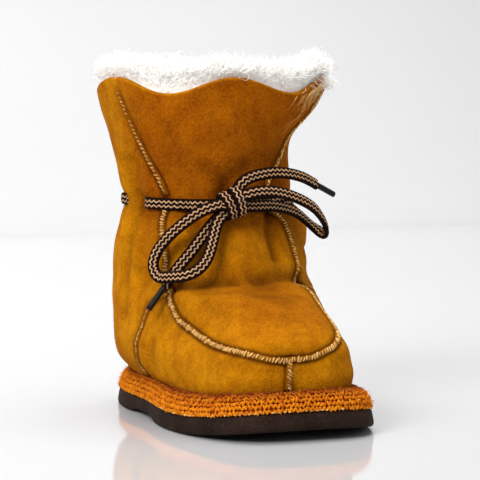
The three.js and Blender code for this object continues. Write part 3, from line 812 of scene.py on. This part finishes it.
def wool_points(place, turn):
    """Points of the wool's surface, by place along its section and angle."""
    k = np.minimum(np.floor(place).astype(int), len(WOOL_SECTION) - 2)
    step = WOOL_SECTION[k + 1] - WOOL_SECTION[k]
    level, distance, rise = (WOOL_SECTION[k] + step * (place - k)[:, None]).T
    p = offset(level, turn, distance)
    p[:, 2] += rise + 0.6 * scallop(turn) * smooth(rise, 0, 2)
    return p


def lining_part():
    """The wool on the inside of the suede, in soft lumps, and over the collar."""
    form = tube(WOOL_AROUND, WOOL_RINGS)
    ring, column = places(form, WOOL_AROUND, WOOL_RINGS)
    place = ring * (len(WOOL_SECTION) - 1) / (WOOL_RINGS - 1)
    turn = 2 * math.pi * column / WOOL_AROUND
    lump = np.sin(9 * turn + 1.7 * place) * np.sin(17 * turn + 3 * place)
    inward = -0.5 * np.abs(lump) * smooth(place, 2.5, 4)
    points = wool_points(place, turn) + upper_normal(12.0, turn) * inward[:, None]
    return shaped(form, points, WOOL)


def footbed_part():
    """The wool footbed with its uneven pile."""
    form = tube(WOOL_AROUND, len(FOOTBED_SHARES), True)
    ring, column = places(form, WOOL_AROUND, len(FOOTBED_SHARES))
    share = FOOTBED_SHARES[ring]
    p, station = outline(ROWS[0], 2 * math.pi * column / WOOL_AROUND, FOOTBED_INSET)
    station = HALF_SOLE + (station - HALF_SOLE) * share
    x = -CENTRE_X + (p[:, 0] + CENTRE_X) * share
    pile = (0.6 + 0.5 * np.sin(0.9 * x) * np.sin(0.8 * station)) * (ring > 0)
    bed = np.stack([x, HALF_SOLE - station, FOOTBED_HEIGHT + spring(station) + pile], -1)
    return shaped(form, bed, WOOL)


piece("wool_lining", [lining_part(), footbed_part()], ["wool_collar", "insole"])


def strands(roots, aims, lengths, curl, width, segments=5, material=WOOL, tint=0.5):
    """Hairs as thin ribbons that curl as they grow."""
    count = len(roots)
    flat = unit(np.cross(aims, rng.normal(0, 1, (count, 3))))
    other = np.cross(aims, flat)
    phase, twist = rng.uniform(0, 2 * math.pi, (count, 1)), rng.uniform(2.5, 6.0, (count, 1))
    start = np.cos(phase) * flat + np.sin(phase) * other
    rows = []
    for f in np.linspace(0, 1, segments + 1):
        swing = np.cos(phase + twist * f) * flat + np.sin(phase + twist * f) * other - start
        centre = roots + (aims + swing * curl) * lengths[:, None] * f
        half = flat * width * (1 - 0.7 * f) / 2
        rows += [centre - half, centre + half]
    step = np.arange(segments)
    quad = np.stack([2 * step, 2 * step + 1, 2 * step + 3, 2 * step + 2], -1)
    faces = quad[None] + (np.arange(count) * 2 * (segments + 1))[:, None, None]
    return strewn(np.stack(rows, 1).reshape(-1, 3), faces.reshape(-1, 4), material, tint=tint)


# How many hairs, the level under the rim where their directions are taken, and degrees of the hole tufts
CURLS, RIM_HAIRS, HOLE_HAIRS, LOOSE_HAIRS, COMBED_HAIRS = 16800, 460, 90, 8, 170
RIM_LEVEL = 14.5
HOLE_TUFTS = (-110, 110)


def curls_part():
    """The close curls along the top of the collar's wool and down its inside."""
    turn, place = rng.uniform(0, 2 * math.pi, CURLS), 1.1 + 8.4 * rng.uniform(0, 1, CURLS) ** 1.3
    lean = ((4.4 - place) * 0.25 * smooth(place, 1.0, 2.6))[:, None]
    stray = rng.normal(0, 0.4, (CURLS, 3))
    aims = unit(upper_normal(RIM_LEVEL, turn) * lean + np.array([0, 0, 1.0]) + stray)
    return strands(wool_points(place, turn), aims, rng.uniform(1.8, 4.8, CURLS), 0.36, 0.27)


def rim_tuft():
    """Wool that hangs over the rim at the outer corner."""
    turn = np.radians(rng.normal(64, 8, RIM_HAIRS))
    roots = offset(COLLAR, turn, rng.uniform(-2.2, -0.4, RIM_HAIRS)) + [0, 0, 0.9]
    aims = unit(upper_normal(RIM_LEVEL, turn) + [-0.25, 0, -0.8] + rng.normal(0, 0.4, (RIM_HAIRS, 3)))
    return strands(roots, aims, rng.uniform(1.5, 6.0, RIM_HAIRS), 0.2, 0.15)


def hole_tufts():
    """Wool that shows in the rear lace holes."""
    parts = []
    for degrees in HOLE_TUFTS:
        turn = np.radians(degrees + rng.normal(0, 1.4, HOLE_HAIRS))
        level = LACE_LEVEL + rng.normal(0, 0.1, HOLE_HAIRS)
        aims = unit(upper_normal(level, turn) + rng.normal(0, 0.7, (HOLE_HAIRS, 3)))
        parts.append(strands(offset(level, turn, -3.2), aims, rng.uniform(0.8, 1.9, HOLE_HAIRS), 0.4, 0.2))
    return parts


def loose_hairs():
    """A few long hairs that lie on the suede below the rim."""
    turn, level = np.radians(rng.uniform(34, 56, LOOSE_HAIRS)), rng.uniform(14.0, 14.9, LOOSE_HAIRS)
    roots = offset(level, turn, 0.7)
    aims = unit(offset(level - 0.6, turn - 0.1, 0.9) - roots)
    return strands(roots, aims, rng.uniform(5, 12, LOOSE_HAIRS), 0.05, 0.08, 8, THREAD, 1.0)


def combed_hairs():
    """Cream hairs combed down over the suede from the rim's outer corner."""
    turn, level = np.radians(rng.normal(50, 7, COMBED_HAIRS)), np.full(COMBED_HAIRS, 14.95)
    roots = offset(level, turn, rng.uniform(0.2, 0.9, COMBED_HAIRS))
    lower = turn - rng.normal(0.05, 0.06, COMBED_HAIRS)
    below = offset(level - 1.0, lower, rng.uniform(0.6, 1.6, COMBED_HAIRS))
    return strands(roots, unit(below - roots), rng.uniform(2, 8.5, COMBED_HAIRS), 0.07, 0.1, 6, THREAD, 1.0)


piece("wool_curls", [curls_part(), rim_tuft(), *hole_tufts(), loose_hairs(), combed_hairs()])

# Fibres on each seam
FUZZ = {"seam_apron": 240, "seam_toe": 20, "seam_side_inner": 24, "seam_side_outer": 24}


def fuzz_parts():
    """Short fibres that stick out of the seams."""
    parts = []
    for name, count in FUZZ.items():
        at, turn = SEAMS[name]
        p, n = upper(at, turn), upper_normal(at, turn)
        pick = rng.integers(0, len(p), count)
        roots = p[pick] + n[pick] * 0.5 + rng.normal(0, 0.5, (count, 3))
        aims = unit(n[pick] + rng.normal(0, 0.7, (count, 3)))
        parts.append(strands(roots, aims, rng.uniform(0.6, 1.5, count), 0.3, 0.07, 4, THREAD))
    return parts


piece("seam_fuzz", fuzz_parts())


def yarn_fuzz():
    """Short fibres that stand off the knitted band."""
    parts = []
    for degrees in (6, 18, 31, 45, 58):
        q, ahead, out = band_ring(FIBRES, degrees, FIBRE_SPACING)
        q = q + rng.normal(0, 0.4, q.shape)
        aims = unit(out + ahead * rng.normal(0, 0.9, (len(q), 1)) + rng.normal(0, 0.4, q.shape))
        parts.append(strands(q, aims, rng.uniform(0.5, 1.3, len(q)), 0.4, 0.09, 4, KNIT))
    return parts


piece("knit_fuzz", yarn_fuzz())

# Lace: its flat section, length of a zigzag, dip into its holes, and height of the knot over the suede
LACE_WIDTH, LACE_THICK = 4.2, 1.9
BRAID_STEP = 1.9
HOLE_DIP = 2.1
KNOT_HEIGHT = 6.2
# Turns of the knot: tilt, shift to the side, half depth, half height, and width of the lace
KNOT_TURNS = ((-0.4, -1.9, 3.5, 4.3, 4.0), (-0.3, 2.0, 3.8, 4.6, 4.2), (1.4, 0, 2.4, 4.8, 3.4))


def braid(path, face, width=LACE_WIDTH, thick=LACE_THICK, material=LACE, closed=False):
    """A flat braided lace along a path, with its flat side towards face."""
    ring = np.arange(12) * math.pi / 6
    section = np.stack([width / 2 * np.sign(np.cos(ring)) * np.abs(np.cos(ring)) ** 0.7,
                        thick / 2 * np.sign(np.sin(ring)) * np.abs(np.sin(ring)) ** 0.8], -1)
    return swept(path, face, section, material, closed, uv=BRAID_STEP)


def lace_bar(name, first, last, count, lift):
    """A length of lace on the suede between two holes, which dips into them."""
    turn = np.radians(np.linspace(first, last, count))
    p, n, _ = dressed(np.full(count, LACE_LEVEL), turn)
    edge = np.minimum(np.arange(count), np.arange(count)[::-1]) / (count / 26)
    height = lift - HOLE_DIP * (1 - smooth(edge, 0, 2.2))
    piece(name + "_braid", [braid(p + n * height[:, None], n)], [name])


lace_bar("lace_front", -FRONT_HOLE, FRONT_HOLE, 90, 1.3)
lace_bar("lace_side_inner", -MIDDLE_HOLE, -REAR_HOLE, 30, 0.7)
lace_bar("lace_side_outer", MIDDLE_HOLE, REAR_HOLE, 30, 0.7)

# Free lace: level, degrees round from the toe, height over the suede
INNER_LOOP = [
    [11.1, -3, 7.6], [10.6, -18, 8], [10.05, -30, 7.6], [9.5, -40, 7], [8.9, -48, 6.6], [8.2, -54, 6.4],
    [7.3, -56.5, 6.4], [6.6, -53.5, 6.5], [6.7, -44, 6.7], [7.5, -32, 7], [8.5, -22, 7], [9.55, -14.5, 6.8],
    [10.2, -10, 6.4], [10.65, -4, 5.8]]
OUTER_LOOP = [
    [11.2, 1, 8.2], [11.5, 7, 9.8], [11.55, 17.5, 10.8], [11.1, 30, 12.4], [10.2, 42, 12.6], [9.6, 50, 11.6],
    [9.35, 57, 8.6], [9.7, 57, 5.2], [10.4, 45, 3.8], [10.8, 27, 4], [10.85, 11, 4.9], [10.9, 1, 6.2]]
INNER_END = [[10.8, -3, 4.2], [10, -16, 3.2], [9.1, -29, 3], [8.1, -43.5, 3], [6.3, -63, 3.4]]
OUTER_END = [
    [11.3, 0, 6.2], [11.9, 6, 6.6], [12.1, 17.5, 6.8], [12.1, 29.5, 8.2], [11.9, 41, 10.6], [11.5, 49, 12.8]]
# Tips: length, how far the lace sits in them, and section
TIP_LENGTH, TIP_GRIP = 10.0, 0.4
TIP_WIDTH, TIP_THICK = 2.0, 1.8
TIP_POINTS = 8
# Upright line in the ankle that the flat side of the free lace turns away from, and how far it leans up
ANKLE_X, ANKLE_Y = -6, 28
FACE_LEAN = 0.25


def above(route):
    """Points over the suede of a route of levels, degrees and heights."""
    level, degrees, height = np.array(route, float).T
    return offset(level, np.radians(degrees), height)


def knot_parts():
    """Two turns of the lace side by side round a flat one."""
    centre = above([[LACE_LEVEL, 0, KNOT_HEIGHT]])[0]
    out = upper_normal([LACE_LEVEL], [0.0])[0]
    side = np.array([1.0, 0, 0])
    up = np.cross(out, side) * np.sign(np.cross(out, side)[2])
    turn = np.linspace(0, 2 * math.pi, 60, endpoint=False)[:, None]
    parts = []
    for tilt, shift, deep, tall, width in KNOT_TURNS:
        rise = up * math.cos(tilt) + side * math.sin(tilt)
        place = centre + (side * math.cos(tilt) - up * math.sin(tilt)) * shift
        ring = out * deep * np.cos(turn) + rise * tall * np.sin(turn)
        parts.append(braid(place + ring, unit(ring), width, closed=True))
    return parts


KNOT = piece("lace_knot_tied", knot_parts(), ["lace_knot"])


def free_lace(name, route, count, tip=None, over=False, knot=None):
    """A free length of lace, its flat side away from the ankle, or turned over at the far end of its loop."""
    path = spline(above(route), count)
    turn = np.arctan2(path[:, 0] - ANKLE_X, ANKLE_Y - path[:, 1])
    face = unit(np.stack([np.sin(turn), -np.cos(turn), np.full(count, FACE_LEAN)], -1))
    if over:
        roll = math.pi * smooth(np.linspace(0, 1, count), 0.36, 0.64)[:, None]
        face = face * np.cos(roll) + unit(path[count // 2] - path[0]) * np.sin(roll)
    made = piece(name + "_braid", [braid(path, face)], [name])
    extra = [knot] if knot else []
    if tip:
        ahead = unit(path[-1] - path[-3])
        stick = path[-1] + ahead * np.linspace(-TIP_GRIP, TIP_LENGTH, TIP_POINTS)[:, None]
        end = braid(stick, face[-TIP_POINTS:], TIP_WIDTH, TIP_THICK, TIP)
        extra.append(piece(tip + "_end", [end], [tip]))


free_lace("lace_loop_inner", INNER_LOOP, 90, knot=KNOT)
free_lace("lace_loop_outer", OUTER_LOOP, 90, over=True)
free_lace("lace_end_inner", INNER_END, 50, "lace_tip_inner")
free_lace("lace_end_outer", OUTER_END, 60, "lace_tip_outer")


# Floor, backdrop and light, in metres
FLOOR_HALF_WIDTH, FLOOR_FRONT = 2.5, -1.5
CURVE_START, CURVE_RADIUS = 0.9, 0.7
WALL_TOP = (1.6, 2.4)
BOOT_MIDDLE = (0, 0, 0.06)
WORLD_LIGHT = 0.525


def backdrop():
    """A floor that curves up into a wall behind the boot."""
    form = bmesh.new()
    corners = [form.verts.new((x, FLOOR_FRONT, 0)) for x in (-FLOOR_HALF_WIDTH, FLOOR_HALF_WIDTH)]
    edge = form.edges.new(corners)
    curve = [(CURVE_START + CURVE_RADIUS * math.sin(t), CURVE_RADIUS - CURVE_RADIUS * math.cos(t))
             for t in np.linspace(0, math.pi / 2, 14)]
    for y, z in curve + [WALL_TOP]:
        drawn = bmesh.ops.extrude_edge_only(form, edges=[edge])["geom"]
        edge = next(item for item in drawn if isinstance(item, bmesh.types.BMEdge))
        for vert in edge.verts:
            vert.co.y, vert.co.z = y, z
    form.normal_update()
    bmesh.ops.reverse_faces(form, faces=[face for face in form.faces if face.normal.z - face.normal.y < 0])
    mesh = bpy.data.meshes.new("floor")
    form.to_mesh(mesh)
    form.free()
    mesh.materials.append(FLOOR)
    mesh.polygons.foreach_set("use_smooth", np.ones(len(mesh.polygons), bool))
    made = bpy.data.objects.new("floor", mesh)
    bpy.context.scene.collection.objects.link(made)


backdrop()


def light(name, place, size, power, aim=BOOT_MIDDLE):
    """A square lamp, aimed at the boot or at another place."""
    lamp = bpy.data.lights.new(name, "AREA")
    lamp.size, lamp.energy = size, power
    made = bpy.data.objects.new(name, lamp)
    made.location = place
    made.rotation_euler = (Vector(aim) - Vector(place)).to_track_quat("-Z", "Y").to_euler()
    bpy.context.scene.collection.objects.link(made)


light("key", (-1.1, -0.8, 1.0), 0.7, 25)
light("top", (0.1, 0.2, 1.6), 1.2, 19)
light("fill", (1.1, -0.9, 0.7), 0.9, 1.75)
light("wall", (0, 0.5, 1.5), 1.0, 25, (0, 1.6, 0.6))
world = bpy.data.worlds.new("world")
world.use_nodes = True
background = world.node_tree.nodes["Background"]
background.inputs["Color"].default_value = (1.0, 1.0, 1.0, 1.0)
background.inputs["Strength"].default_value = WORLD_LIGHT
bpy.context.scene.world = world
bpy.context.scene.view_settings.view_transform = "Standard"
